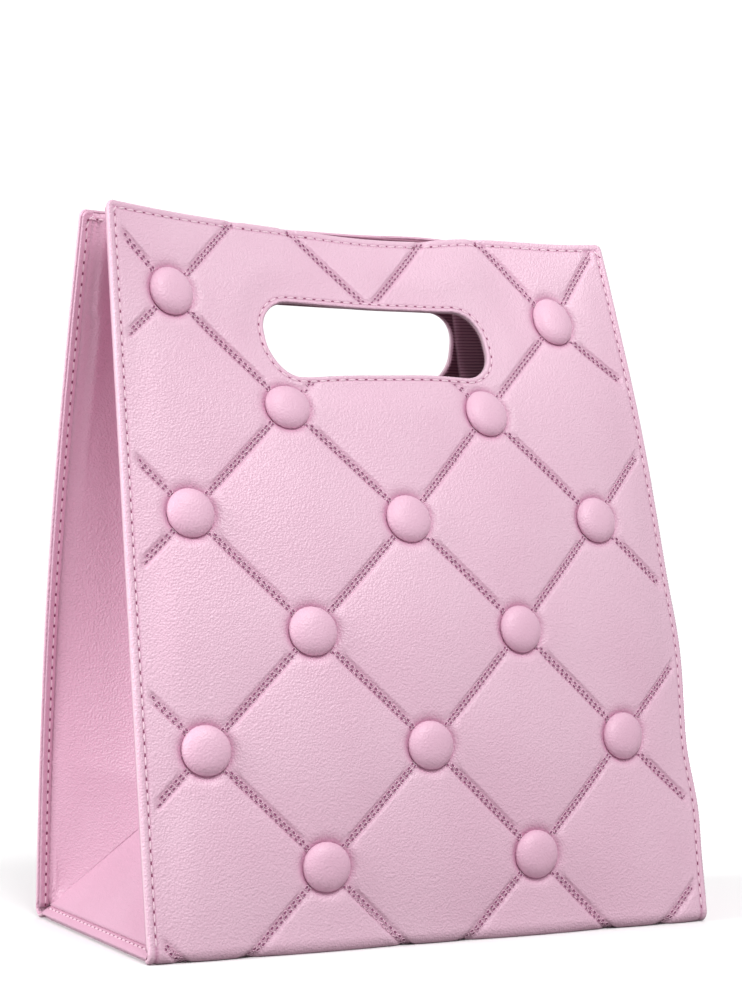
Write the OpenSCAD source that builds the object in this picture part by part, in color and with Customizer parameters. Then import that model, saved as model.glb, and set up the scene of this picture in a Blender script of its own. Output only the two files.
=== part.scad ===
// Small structured tote bag with a hand slot in each panel, diamond quilting and side
// gussets that fold inwards when the mouth closes. Sizes in mm.
// Origin: middle of the footprint, on the surface the bag stands on. +Z up, front towards -Y.

/* [Bag] */
// overall width, outside the side seams
body_w = 240; // [210:5:270]
// overall depth at the foot, outside the bottom rolls
body_d = 135; // [130:1:145]
// panel height, measured up its own slope
panel_h = 290; // [275:5:300]
// how far each panel leans in from upright, degrees
panel_lean = 11; // [9:0.5:11]
// outside radius of the roll where a panel turns under the bag
roll_r = 5; // [4:0.5:6]
// rounding of a panel's top corners
corner_r = 4; // [2:1:8]

/* [Layers] */
// padded outer skin of the panels and the base
skin_t = 2; // [1.6:0.1:2.2]
// stiffening board inside the panels and the base
board_t = 1.2; // [0.8:0.1:1.4]
// lining cloth of the panels and the base
lining_t = 0.4; // [0.3:0.1:0.5]
// gusset skin
gusset_t = 0.8; // [0.6:0.1:0.9]
// gusset lining
gusset_lining_t = 0.4; // [0.3:0.1:0.4]
// width of the raw-edge seam that stands out at each side
seam_w = 5; // [4:0.5:6]

/* [Hand slot] */
// slot length
slot_w = 102; // [90:1:108]
// slot height
slot_h = 30; // [26:1:32]
// corner radius of the slot
slot_r = 13; // [8:1:13]
// from a panel's top edge down to the middle of the slot
slot_drop = 48; // [44:1:50]

/* [Quilting] */
// side-to-side distance between buttons of one row
quilt_pitch = 90; // [80:1:94]
// from the top edge down to the first row of buttons
first_row = 34.5; // [30:0.5:38]
// how far the pattern sits to the left of the panel's middle
quilt_shift = 4; // [0:0.5:5]
// overall width of a pressed quilting line, which is a pair of channels
channel_w = 4; // [3:0.1:5]
// width of each channel of the pair
rail_w = 1.5; // [1:0.1:1.5]
// depth of the channels
channel_d = 0.7; // [0.3:0.1:1]
// diameter of a button
button_d = 19; // [14:0.5:22]
// height of a button's dome above its skirt
dome_h = 3; // [2:0.1:4]

/* [Thread] */
// from an edge in to the line of stitching
stitch_inset = 3.6; // [3:0.1:4]
// width of the thread line
thread_w = 0.7; // [0.5:0.1:1]
// how far the thread line stands up
thread_h = 0.3; // [0.2:0.05:0.4]

/* [Hidden] */
$fn = 32;

// colours
PINK = [0.86, 0.66, 0.74];
ROSE = [0.78, 0.55, 0.66];
CARD = [0.74, 0.70, 0.64];
PLUM = [0.42, 0.27, 0.33];
THREAD = [0.90, 0.78, 0.84];

// A panel is drawn flat and then stood up. In the flat, x runs across, y runs up the slope from
// the bottom fold's axis, and z runs outwards, with the skin's outer face at z = roll_r.
fold_y = body_d / 2 - roll_r;      // the bottom fold's axis lies this far from the middle
top_v = panel_h - roll_r;          // the top edge, up from the fold's axis
skin_in = roll_r - skin_t;         // inner face of the skin
board_in = skin_in - board_t;      // inner face of the board
lining_in = board_in - lining_t;   // inner face of the lining
slot_v = top_v - slot_drop;        // middle of the hand slot
edge_gap = 1.2;                    // between the base and the panels' rolls
board_margin = 3.5;                // board and lining stop this far inside the top edge
side_margin = 0.6;                 // and this far inside the side edges

// Gusset: its sheet's middle surface, creased along the lines between these points.
sheet_t = gusset_t + gusset_lining_t;
crease_drop = 0.4;                           // it turns this much inside the sewn seam
sheet_w = lining_in - sheet_t / 2 - crease_drop;   // its height in a panel's flat drawing
sheet_x = body_w / 2 - seam_w - 0.5;         // the side creases, out from the middle
sheet_z = skin_t + board_t + lining_t + sheet_t / 2 + crease_drop;   // the foot crease
crease_gap = 1.2;                            // a facet stops this far from a crease that turns
meet_gap = 2.6;                              // and this far from one that only meets its neighbour
valley_gap = 1.8;                            // a half's valley edge stays this far off centre

sl = sin(panel_lean);
cl = cos(panel_lean);
sheet_v0 = (sheet_z - roll_r - sheet_w * sl) / cl;   // where the side crease meets the foot crease
function on_front(x, v, w) = [x, -fold_y + v * sl - w * cl, roll_r + v * cl + w * sl];

corner = on_front(-sheet_x, sheet_v0, sheet_w);      // bottom corner of the front half
top_pt = on_front(-sheet_x, top_v, sheet_w);         // top of the side crease
leaf_w = -corner[1] - valley_gap;                    // width of one gusset half, laid flat
crease_len = top_v - sheet_v0;                       // length of the side crease
// A diagonal crease makes 45 degrees with both the foot crease and the side crease.
diagonal = [sqrt(2 * sl / (1 + sl)), 1, cl / (1 + sl)];
foot_apex = corner - corner[1] * diagonal;
apex = corner + leaf_w * diagonal;
// The valley's top end is leaf_w from the top of the side crease, and as far from the apex as
// the flat gusset makes it: two circles cut, in the plane valley_gap in front of the middle.
r_top = sqrt(pow(leaf_w, 2) - pow(top_pt[1] + valley_gap, 2));
r_apex = crease_len - leaf_w;
span = [top_pt[0] - apex[0], top_pt[2] - apex[2]];
span_len = norm(span);
along = (pow(r_apex, 2) - pow(r_top, 2) + pow(span_len, 2)) / (2 * span_len);
aside = sqrt(pow(r_apex, 2) - pow(along, 2));
valley_top = [apex[0] + (span[0] * along + span[1] * aside) / span_len, -valley_gap,
    apex[2] + (span[1] * along - span[0] * aside) / span_len];

function unit(v) = v / norm(v);
// A line t inside the edge from a to b of an outline drawn anticlockwise, as [normal, distance].
function inside_line(a, b, t) =
    let (n = unit([a[1] - b[1], b[0] - a[0]])) [n, n * a + t];
// Where two such lines cross.
function cross_at(l, m) =
    let (det = l[0][0] * m[0][1] - l[0][1] * m[0][0])
    [l[1] * m[0][1] - m[1] * l[0][1], m[1] * l[0][0] - l[1] * m[0][0]] / det;

// ---------- shared pieces ----------

// Places what is drawn flat on the front panel; the back panel is the same turned round.
module stand_front() translate([0, -fold_y, roll_r]) rotate([90 - panel_lean, 0, 0]) children();
module stand_back() rotate([0, 0, 180]) stand_front() children();

// A flat sheet from height z0 to z1 with rounded top corners.
module rounded_sheet(x, v0, v1, z0, z1, r) translate([0, 0, z0]) linear_extrude(z1 - z0) {
    translate([-x, v0]) square([2 * x, v1 - v0 - r]);
    translate([-x + r, v0]) square([2 * (x - r), v1 - v0]);
    for (s = [-1, 1]) translate([s * (x - r), v1 - r]) circle(r);
}

// The hand slot grown by `grow` all round, cutting from height z0 to z1.
module slot(grow, z0, z1) translate([0, slot_v, z0]) linear_extrude(z1 - z0) {
    w = slot_w / 2 + grow;
    h = slot_h / 2 + grow;
    r = min(slot_r + grow, h - 0.01);
    square([2 * w, 2 * (h - r)], center = true);
    square([2 * (w - r), 2 * h], center = true);
    for (x = [-1, 1], y = [-1, 1]) translate([x * (w - r), y * (h - r)]) circle(r);
}

// Button centres: rows half a pitch apart, every other row offset, none over the hand slot.
rows = floor((top_v - first_row - button_d) / (quilt_pitch / 2));
module at_buttons() for (row = [0:rows]) {
    step = row % 2;
    for (col = step == 0 ? [-1, 0, 1] : [-0.5, 0.5])
        if (row > 0 || col != 0)
            translate([col * quilt_pitch - quilt_shift,
                top_v - first_row - row * quilt_pitch / 2, 0]) children();
}

// Pressed pairs of channels on both diagonals through the buttons, inside the side stitching.
module channels() {
    lines = ceil((body_w + panel_h) / quilt_pitch);
    floor_z = roll_r - channel_d;
    clip_x = body_w / 2 - seam_w - 1.5;
    difference() {
        intersection() {
            for (turn = [-45, 45], k = [-lines:lines])
                translate([-quilt_shift, top_v - first_row + k * quilt_pitch, floor_z])
                    rotate([0, 0, turn]) for (side = [-1, 1])
                        translate([-panel_h * 1.5, side * (channel_w - rail_w) / 2 - rail_w / 2, 0])
                            cube([panel_h * 3, rail_w, channel_d + 1]);
            translate([-clip_x, 0, floor_z]) cube([2 * clip_x, top_v + 1, channel_d + 1]);
        }
        slot(stitch_inset, floor_z - 1, roll_r + 2);
    }
}

// Outer skin: padded sheet that rolls under at the bottom, with channels and button seats.
module panel_skin() color(PINK) difference() {
    union() {
        rounded_sheet(body_w / 2, 0, top_v, skin_in, roll_r, corner_r);
        bottom_roll();
    }
    slot(0, skin_in - 1, roll_r + 1);
    channels();
    at_buttons() translate([0, 0, roll_r - channel_d]) cylinder(d = button_d + 1, h = 2);
}

// The roll runs from the panel's outer face round to the ground side of the fold.
module bottom_roll() rotate([90, 0, 90]) translate([0, 0, -body_w / 2])
    linear_extrude(body_w) intersection() {
        difference() {
            circle(roll_r);
            circle(skin_in);
        }
        polygon([[0, 0], [0, 2 * roll_r], [-2 * roll_r, 2 * roll_r], [-2 * roll_r, 0],
            2 * roll_r * [-cl, -sl]]);
    }

module panel_board() color(CARD) difference() {
    rounded_sheet(body_w / 2 - side_margin, 2, top_v - board_margin, board_in, skin_in,
        corner_r);
    slot(2, board_in - 1, skin_in + 1);
}

module panel_lining() color(PLUM) difference() {
    rounded_sheet(body_w / 2 - side_margin, 1, top_v - 1, lining_in, board_in, corner_r);
    slot(0, lining_in - 1, board_in + 1);
}

// The gusset's edges, sewn flat inside the panel's side edges.
module panel_gusset_flanges() color(ROSE) for (s = [-1, 1])
    translate([s * (body_w / 2 - seam_w / 2) - (seam_w - 0.4) / 2, 1, lining_in - sheet_t])
        cube([seam_w - 0.4, top_v - 1 - corner_r, sheet_t]);

// Covered domed buttons, seated in the crossings of the channels.
module panel_buttons() color(ROSE) at_buttons() {
    dome_r = (pow(button_d / 2, 2) + pow(dome_h, 2)) / (2 * dome_h);
    seat_z = roll_r - channel_d;
    intersection() {
        translate([0, 0, seat_z + channel_d + dome_h - dome_r]) sphere(dome_r);
        translate([0, 0, seat_z]) cylinder(d = button_d, h = channel_d + dome_h + 1);
    }
}

// One line of thread along the top edge and down both sides.
module panel_edge_thread() color(THREAD) {
    x = body_w / 2 - stitch_inset;
    v = top_v - stitch_inset;
    for (s = [-1, 1]) translate([s * x - thread_w / 2, 2, roll_r])
        cube([thread_w, v - 2 - thread_w, thread_h]);
    translate([-x, v - thread_w / 2, roll_r]) cube([2 * x, thread_w, thread_h]);
}

// One line of thread round the hand slot.
module panel_slot_thread() color(THREAD) difference() {
    slot(stitch_inset - 0.6 + thread_w / 2, roll_r, roll_r + thread_h);
    slot(stitch_inset - 0.6 - thread_w / 2, roll_r - 1, roll_r + thread_h + 1);
}

// ---------- base ----------

base_y = fold_y - edge_gap;
module base_skin() color(PINK)
    translate([-body_w / 2, -base_y, 0]) cube([body_w, 2 * base_y, skin_t]);
module base_board() color(CARD)
    translate([-body_w / 2 + side_margin, -base_y + 1.2, skin_t])
        cube([body_w - 2 * side_margin, 2 * (base_y - 1.2), board_t]);
module base_lining() color(PLUM)
    translate([-body_w / 2 + side_margin, -base_y + 0.6, skin_t + board_t])
        cube([body_w - 2 * side_margin, 2 * (base_y - 0.6), lining_t]);
module base_gusset_flanges() color(ROSE) for (s = [-1, 1])
    translate([s * (body_w / 2 - seam_w / 2) - (seam_w - 0.4) / 2, -base_y + 2,
        skin_t + board_t + lining_t])
        cube([seam_w - 0.4, 2 * (base_y - 2), sheet_t]);

// ---------- gusset facets ----------

// The layer from z0 to z1 of a three-cornered facet, its outer side towards the viewer who sees
// p, q and r run anticlockwise. gaps are how far it stops inside edges pq, qr and rp.
module facet(p, q, r, gaps, z0, z1) {
    x = unit(q - p);
    z = unit(cross(q - p, r - p));
    y = cross(z, x);
    far = [(r - p) * x, (r - p) * y];
    pq = inside_line([0, 0], [norm(q - p), 0], gaps[0]);
    qr = inside_line([norm(q - p), 0], far, gaps[1]);
    rp = inside_line(far, [0, 0], gaps[2]);
    multmatrix([[x[0], y[0], z[0], p[0]], [x[1], y[1], z[1], p[1]], [x[2], y[2], z[2], p[2]]])
        translate([0, 0, z0]) linear_extrude(z1 - z0)
            polygon([cross_at(rp, pq), cross_at(pq, qr), cross_at(qr, rp)]);
}

module both_layers(p, q, r, gaps, inner) {
    split = gusset_lining_t - sheet_t / 2;
    if (inner) color(PLUM) facet(p, q, r, gaps, -sheet_t / 2, split);
    else color(ROSE) facet(p, q, r, gaps, split, sheet_t / 2);
}

// Foot: the triangle between the foot crease and the two diagonal creases.
module gusset_foot(inner) both_layers([corner[0], -corner[1], corner[2]], corner, foot_apex,
    [crease_gap, meet_gap, meet_gap], inner);
// Lower part of a half: hinged on the side crease, ends at the diagonal and at the slant crease.
module gusset_low(inner) both_layers(corner, top_pt, apex,
    [crease_gap, crease_gap, meet_gap], inner);
// Upper part of a half: hinged on the slant crease, its free edges are the valley and the top.
module gusset_top(inner) both_layers(apex, top_pt, valley_top,
    [crease_gap, 0, meet_gap], inner);

module to_back() mirror([0, 1, 0]) children();
module to_right() mirror([1, 0, 0]) children();

// ---------- nodes ----------

base_skin();
base_board();
base_lining();
base_gusset_flanges();
stand_front() panel_skin();  // front_skin
stand_front() panel_board();  // front_board
stand_front() panel_lining();  // front_lining
stand_front() panel_gusset_flanges();  // front_gusset_flanges
stand_front() panel_buttons();  // front_buttons
stand_front() panel_edge_thread();  // front_edge_thread
stand_front() panel_slot_thread();  // front_slot_thread
stand_back() panel_skin();  // back_skin
stand_back() panel_board();  // back_board
stand_back() panel_lining();  // back_lining
stand_back() panel_gusset_flanges();  // back_gusset_flanges
stand_back() panel_buttons();  // back_buttons
stand_back() panel_edge_thread();  // back_edge_thread
stand_back() panel_slot_thread();  // back_slot_thread
gusset_foot(false);  // left_foot
gusset_foot(true);  // left_foot_lining
gusset_low(false);  // left_front_low
gusset_low(true);  // left_front_low_lining
gusset_top(false);  // left_front_top
gusset_top(true);  // left_front_top_lining
to_back() gusset_low(false);  // left_back_low
to_back() gusset_low(true);  // left_back_low_lining
to_back() gusset_top(false);  // left_back_top
to_back() gusset_top(true);  // left_back_top_lining
to_right() gusset_foot(false);  // right_foot
to_right() gusset_foot(true);  // right_foot_lining
to_right() gusset_low(false);  // right_front_low
to_right() gusset_low(true);  // right_front_low_lining
to_right() gusset_top(false);  // right_front_top
to_right() gusset_top(true);  // right_front_top_lining
to_right() to_back() gusset_low(false);  // right_back_low
to_right() to_back() gusset_low(true);  // right_back_low_lining
to_right() to_back() gusset_top(false);  // right_back_top
to_right() to_back() gusset_top(true);  // right_back_top_lining
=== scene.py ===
# %% [markdown]
# A small tote bag of satin faux leather. Two heat-moulded panels lean in towards each other, a
# folding gusset closes each side, and a hand slot is cut through both panels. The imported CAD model
# gives every size and every body that moves; this lesson dresses it in soft, bowed, stitched skins.

# %% Load the frame
import math
import bpy
import numpy as np
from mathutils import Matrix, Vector
from mathutils.geometry import delaunay_2d_cdt


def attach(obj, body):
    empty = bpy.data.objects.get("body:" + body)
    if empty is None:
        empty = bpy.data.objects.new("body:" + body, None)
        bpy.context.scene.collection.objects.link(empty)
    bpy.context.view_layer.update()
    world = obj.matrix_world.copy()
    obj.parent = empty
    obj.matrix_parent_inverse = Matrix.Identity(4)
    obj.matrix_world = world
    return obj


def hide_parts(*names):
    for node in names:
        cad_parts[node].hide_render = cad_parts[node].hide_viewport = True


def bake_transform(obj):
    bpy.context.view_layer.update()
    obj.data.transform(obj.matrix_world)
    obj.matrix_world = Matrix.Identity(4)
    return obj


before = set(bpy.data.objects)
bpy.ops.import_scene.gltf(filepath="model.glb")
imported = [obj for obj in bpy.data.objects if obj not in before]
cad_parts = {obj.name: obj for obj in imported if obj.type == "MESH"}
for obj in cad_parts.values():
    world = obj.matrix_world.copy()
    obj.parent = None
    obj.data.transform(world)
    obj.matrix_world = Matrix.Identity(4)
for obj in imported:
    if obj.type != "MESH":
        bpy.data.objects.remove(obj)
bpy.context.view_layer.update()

# %% [markdown]
# The camera comes first, so that every later choice can be judged from where a buyer would stand:
# in front and a little to the left, at about half the bag's height, looking very slightly up.

# %% Camera
def add_camera(place, turn, tilt, lens):
    data = bpy.data.cameras.new("Camera")
    data.sensor_fit, data.sensor_height, data.lens = "VERTICAL", 24, lens
    camera = bpy.data.objects.new("Camera", data)
    a, b = math.radians(turn), math.radians(tilt)
    ahead = Vector((math.sin(a) * math.cos(b), math.cos(a) * math.cos(b), math.sin(b)))
    camera.location = place
    camera.rotation_euler = ahead.to_track_quat("-Z", "Y").to_euler()
    bpy.context.scene.collection.objects.link(camera)
    bpy.context.scene.camera = camera


add_camera(place=(-0.396, -0.8086, 0.1356), turn=26.14, tilt=2.25, lens=52.64)

# %% [markdown]
# Light: a soft bank high in front, a fill from each side and one from behind, as for a product on
# a white table. The white surroundings soften everything; the bank gives the domes and the quilting
# their shape, and the fills keep the gussets and the back from going dark.

# %% Light and surroundings
def add_light(name, place, target, size, watts):
    data = bpy.data.lights.new(name, "AREA")
    data.shape, data.size, data.energy = "SQUARE", size, watts
    light = bpy.data.objects.new(name, data)
    light.location = place
    aim = Vector(target) - Vector(place)
    light.rotation_euler = aim.to_track_quat("-Z", "Y").to_euler()
    bpy.context.scene.collection.objects.link(light)


def linear(code):
    """An sRGB hex colour as linear RGBA."""
    parts = [int(code[i:i + 2], 16) / 255 for i in (1, 3, 5)]
    return [c / 12.92 if c <= 0.04045 else ((c + 0.055) / 1.055) ** 2.4 for c in parts] + [1.0]


def put(tree, kind, settings=None, **links):
    """Adds a node, sets its properties and sockets, and links sockets given as (node, output)."""
    made = tree.nodes.new(kind)
    for key, value in (settings or {}).items():
        if isinstance(key, str) and hasattr(made, key):
            setattr(made, key, value)
        else:
            made.inputs[key].default_value = value
    for key, (source, output) in links.items():
        socket = made.inputs[int(key[2:])] if key.startswith("in") and key[2:].isdigit() \
            else made.inputs[key.replace("_", " ")]
        tree.links.new(source.outputs[output], socket)
    return made


# White stays white, so that the pale room and the pale leather keep their own colours.
bpy.context.scene.view_settings.view_transform = "Standard"
add_light("Bank", (-0.1, -1.2, 1.42), (0, 0, 0.08), 0.7, 21)
add_light("Left fill", (-1.75, 0.10, 0.75), (-0.1, 0, 0.12), 0.9, 28)
add_light("Right fill", (1.5, -1.6, 0.6), (0, 0, 0.15), 1.4, 3)
add_light("Back fill", (0.9, 1.7, 1.0), (0, 0, 0.15), 1.4, 14)

world = bpy.data.worlds.new("White room")
bpy.context.scene.world = world
world.use_nodes = True
world.node_tree.nodes.clear()
seen = put(world.node_tree, "ShaderNodeBackground", {"Color": (1, 1, 1, 1), "Strength": 1.1})
lit = put(world.node_tree, "ShaderNodeBackground", {"Color": (1, 1, 1, 1), "Strength": 0.40})
ray = put(world.node_tree, "ShaderNodeLightPath")
both = put(world.node_tree, "ShaderNodeMixShader", in0=(ray, "Is Camera Ray"), in1=(lit, 0),
           in2=(seen, 0))
put(world.node_tree, "ShaderNodeOutputWorld", Surface=(both, 0))


# %% [markdown]
# Materials. Each starts from its own node tree with one Principled shader; a small function makes
# the tree and hands back the shader, so that each finish below reads as a short list of facts.

# %% Material helper
def new_material(name, colour, **sockets):
    """A material with one Principled shader; returns (material, tree, shader)."""
    made = bpy.data.materials.new(name)
    made.use_nodes = True
    tree = made.node_tree
    tree.nodes.clear()
    shader = put(tree, "ShaderNodeBsdfPrincipled", {"Base Color": linear(colour)})
    for key, value in sockets.items():
        shader.inputs[key.replace("_", " ")].default_value = value
    put(tree, "ShaderNodeOutputMaterial", Surface=(shader, 0))
    return made, tree, shader


def mm_scale(size):
    """Texture scale for features of this size in mm, on Object coordinates in metres."""
    return 1000.0 / size


CLOUD_MM, FLECK_MM = 55, 1.6         # sizes of the slow and the fine changes of tone


def leather(name, light, dark, rough, grain_mm, grain_depth, mottle=0.5, painted_shade="#C27FA3"):
    """Faux leather: a PU coat on cloth, embossed with a fine pebble and mottled in tone. Where the
    mesh has a "pressed" attribute, the tone goes towards the last colour, a deeper pink: painted
    shade in the grooves, dimples and stitch rows."""
    made, tree, shader = new_material(name, light, Roughness=rough, IOR=1.48,
                                      Sheen_Weight=0.12, Sheen_Roughness=0.45)
    where = put(tree, "ShaderNodeTexCoord")
    cloud = put(tree, "ShaderNodeTexNoise", {"Scale": mm_scale(CLOUD_MM), "Detail": 4.0,
                "Roughness": 0.55}, Vector=(where, "Object"))
    fleck = put(tree, "ShaderNodeTexNoise", {"Scale": mm_scale(FLECK_MM), "Detail": 2.0},
                Vector=(where, "Object"))
    blend = put(tree, "ShaderNodeMath", {"operation": "MULTIPLY_ADD", 1: 0.25},
                in0=(fleck, 0), in2=(cloud, 0))
    spread = put(tree, "ShaderNodeMapRange", {"From Min": 0.45, "From Max": 0.80,
                 "To Min": 0.0, "To Max": mottle}, in0=(blend, 0))
    tone = put(tree, "ShaderNodeMix", {"data_type": "RGBA"}, in0=(spread, 0))
    tone.inputs[6].default_value = linear(light)
    tone.inputs[7].default_value = linear(dark)
    # Painted shade: where the "pressed" attribute is high, the grooves, dimples and stitch rows are
    # tinted a deeper pink.
    mark = put(tree, "ShaderNodeAttribute", {"attribute_name": "pressed"})
    groove_shaded = put(tree, "ShaderNodeMix", {"data_type": "RGBA"}, in0=(mark, "Fac"), in6=(tone, 2))
    groove_shaded.inputs[7].default_value = linear(painted_shade)
    tree.links.new(groove_shaded.outputs[2], shader.inputs["Base Color"])
    pebble = put(tree, "ShaderNodeTexVoronoi", {"feature": "SMOOTH_F1", "Smoothness": 0.6,
                 "Scale": mm_scale(grain_mm)}, Vector=(where, "Object"))
    bump = put(tree, "ShaderNodeBump", {"Strength": 0.7, "Distance": grain_depth * 0.001},
               Height=(pebble, 0))
    tree.links.new(bump.outputs[0], shader.inputs["Normal"])
    return made


# %% [markdown]
# The panels are polyurethane faux leather pressed in a heated mould. It comes out satin, with a
# pebble of about half a millimetre; it is drawn at 0.8 mm, the finest that shows at this distance.
# The thread is a shade paler than the leather, the cut edges are painted, and the lining is a
# ribbed cloth of a deeper plum.

# %% Leather, paint, thread, cloth and board
PANEL = leather("Moulded satin faux leather", "#E6C0D3", "#DFB1C8", 0.42, 0.8, 0.34)
BUTTON = leather("Satin faux leather over domes", "#E6BCD1", "#DFADC6", 0.46, 0.8, 0.24)
GUSSET = leather("Plain satin faux leather", "#E0B2C9", "#D7A2BB", 0.42, 0.8, 0.34)
EDGE = new_material("Painted raw edge", "#EFCDDC", Roughness=0.55, IOR=1.48)[0]
# Painted shade: the needle holes are dark for the shade inside them and under the thread.
PIT = new_material("Shadowed needle hole", "#8A4565", Roughness=0.8, IOR=1.45)[0]
# Painted shade: the eyes are dark for the shade inside each ring's hole.
EYE_SHADE = new_material("Painted shade in ring eyes", "#96537A", Roughness=0.6, IOR=1.45)[0]
THREAD = new_material("Spun polyester thread", "#EFCFDD", Roughness=0.6, IOR=1.5,
                      Sheen_Weight=0.3)[0]
BOARD = new_material("Grey pressed cardboard", "#B7A998", Roughness=0.9, IOR=1.45)[0]


def ribbed_cloth(name, light, dark, rib_mm):
    """Lining: a woven cloth with fine raised ribs that run across the bag; the hollows between the
    ribs are coloured darker, a painted shade.
    """
    made, tree, shader = new_material(name, light, Roughness=0.78, IOR=1.5, Sheen_Weight=0.25,
                                      Sheen_Roughness=0.5)
    where = put(tree, "ShaderNodeTexCoord")
    ribs = put(tree, "ShaderNodeTexWave", {"wave_type": "BANDS", "bands_direction": "Z",
               "Scale": mm_scale(rib_mm) * math.pi / 10, "Distortion": 0.4, "Detail": 1.0},
               Vector=(where, "Object"))
    tone = put(tree, "ShaderNodeMix", {"data_type": "RGBA"}, in0=(ribs, 1))
    tone.inputs[6].default_value = linear(dark)
    tone.inputs[7].default_value = linear(light)
    tree.links.new(tone.outputs[2], shader.inputs["Base Color"])
    bump = put(tree, "ShaderNodeBump", {"Strength": 0.5, "Distance": 0.0002}, Height=(ribs, 1))
    tree.links.new(bump.outputs[0], shader.inputs["Normal"])
    return made


LINING = ribbed_cloth("Ribbed woven lining", "#B98299", "#855069", 1.3)

# %% [markdown]
# Every size below is in millimetres. A panel is drawn flat first: x runs across it and s runs up
# its slope from the floor. One function then bends the flat drawing into the bag, so the skin, the
# board, the lining and every stitch share the same belly and the same lean.

# %% Sizes
HALF, TALL = 120.0, 290.0            # half the panel's width, and its height up the slope
LEAN = math.radians(11.62)           # lean of the panel's side edges
ROLL = 4.0                           # outside radius where the skin turns under
FOOT = 67.5                          # front face, out from the middle, at the floor
SKIN, CLOTH, LEAF = 2.0, 0.4, 0.8      # thickness of the skin, the lining and the gusset
PITCH = 90.0                         # side-to-side distance of buttons in one row
QUILT_X, QUILT_S = -3.92, TALL - 32.7    # where two quilting lines cross, in the first row
DIAMOND = PITCH / math.sqrt(2)
SLOT_X, SLOT_S, SLOT_W, SLOT_H, SLOT_R = -3.5, TALL - 48.0, 51.0, 15.0, 13.0
BUTTON_R = 9.55
STITCH_IN, SLOT_STITCH = 2.9, 2.1    # rows of stitching, in from an edge and from the slot
CORNER_R = 2.5                       # rounding of the top corners
AXIS_Y = -FOOT + (ROLL * math.sin(LEAN) + ROLL) / math.cos(LEAN)   # axis of the bottom roll
ROLL_S = (AXIS_Y + FOOT) * math.sin(LEAN) + ROLL * math.cos(LEAN)  # the roll starts here
END_S = ROLL_S - ROLL * (math.pi / 2 + LEAN)                       # and ends flat on the floor


def step(x, a, b):
    """0 below a, 1 above b, smooth between."""
    t = np.clip((x - a) / (b - a), 0, 1)
    return t * t * (3 - 2 * t)


def stretch(x, t, left, right):
    """Moves the outer parts of a panel sideways by left and right, leaving its middle."""
    return x + right * step(x, 45, 120) - left * step(-x, 45, 120)


def front_bow(x, t):
    """Where the front panel departs from a flat board: (in or out, up or down)."""
    g = np.clip(1 - (x / HALF) ** 2, -0.2, 1)
    soft = 1 - np.exp(-np.maximum(t, 0) / 0.03)
    belly = 15.95 * g * t + 7.70 * (x / HALF) * t - 20.2 * g * np.sin(math.pi * t) * soft
    return belly, -2.97 * g * t


def back_bow(x, t):
    """The same for the back panel, drawn in its own turned frame."""
    g = np.clip(1 - (x / HALF) ** 2, -0.2, 1)
    out = (4.6 + 15.6 * g - 6.4 * x / HALF) * t + (4.5 + 4.0 * g) * np.sin(math.pi * t)
    return -out, (2.0 * g - 1.0) * t


def hump(x, middle, width):
    return np.exp(-((x - middle) / width) ** 2)


def top_wave(x, side):
    """The cut top edge waves a little, as board-stiffened leather does."""
    if side == "front":
        return 2.3 * step(x, 22, 52) * (1 - 0.55 * step(x, 60, 110)) - 1.2 * hump(x, 0, 30)
    return 1.5 * hump(x, -35, 25) - 0.6 * hump(x, 60, 30)


def sag(x, s, side):
    """Soft hollows a hand leaves near the slot: (sideways, in or out, along the slope)."""
    if side == "front":
        inward = 2.0 * hump(x, 62, 16) * hump(s, 262, 22)
        along = -4.2 * hump(x, 92, 38) * hump(s, 252, 26) \
            - 1.7 * hump(x, -86, 40) * hump(s, 250, 30) \
            + 1.7 * hump(x, 20, 24) * hump(s, 234, 22) - 2.0 * hump(x, -42, 18) * hump(s, 227, 10)
        aside = 1.6 * hump(x, -50, 16) * hump(s, 230, 10) \
            - 1.5 * hump(x, -62, 48) * np.sin(math.pi * np.clip(s / TALL, 0, 1))
        return aside, inward, along
    return -4.5 * hump(x, -20, 60) * step(s, 150, 240), 0.0, 2.2 * hump(s, 243, 26)


def place(side, x, s, w):
    """Bends flat points (x, s) at height w over the outer face into the bag, in metres."""
    x, s, w = np.broadcast_arrays(*[np.asarray(a, float) for a in (x, s, w)])
    t = np.maximum(s, 0) / TALL
    swell = np.sin(math.pi * np.clip(t, 0, 1))
    if side == "front":
        ripple = 1.6 * hump(s, 115, 20) - 1.5 * hump(s, 72, 16) + 0.9 * hump(s, 45, 14)
        across = stretch(x, t, -0.6 * t, -7.8 * t + 7.0 * swell + ripple)
        bow, rise = front_bow(across, t)
    else:
        across = stretch(x, t, -4.0 * t, 3.2 * t + 2.6 * swell)
        bow, rise = back_bow(across, t)
    shift, hollow, along = sag(x, s, side)
    across, bow = across + shift, bow + hollow
    up = s + along + top_wave(x, side) * step(s, 215, TALL)
    turn = np.clip((ROLL_S - s) / ROLL, 0, 3)
    out_y, out_z = -math.cos(LEAN), math.sin(LEAN)
    flat = s >= ROLL_S
    y = np.where(flat, -FOOT + up * math.sin(LEAN) + w * out_y,
                 AXIS_Y + (ROLL + w) * (out_y * np.cos(turn) - math.sin(LEAN) * np.sin(turn)))
    z = np.where(flat, up * math.cos(LEAN) + w * out_z,
                 ROLL + (ROLL + w) * (out_z * np.cos(turn) - math.cos(LEAN) * np.sin(turn)))
    high = z + rise
    high = np.where(high < 0.1, 0.1 + (high - 0.1) * 0.08, high)
    points = np.stack([across, y + bow, high], -1)
    if side == "back":
        points = points * (-1, -1, 1)
    return points * 0.001


print("roll starts at", round(ROLL_S, 2), "and ends at", round(END_S, 2))

# %% [markdown]
# Distances in the flat drawing decide everything else: how far a point lies inside the outline,
# outside the hand slot, from a quilting line and from a button.

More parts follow.
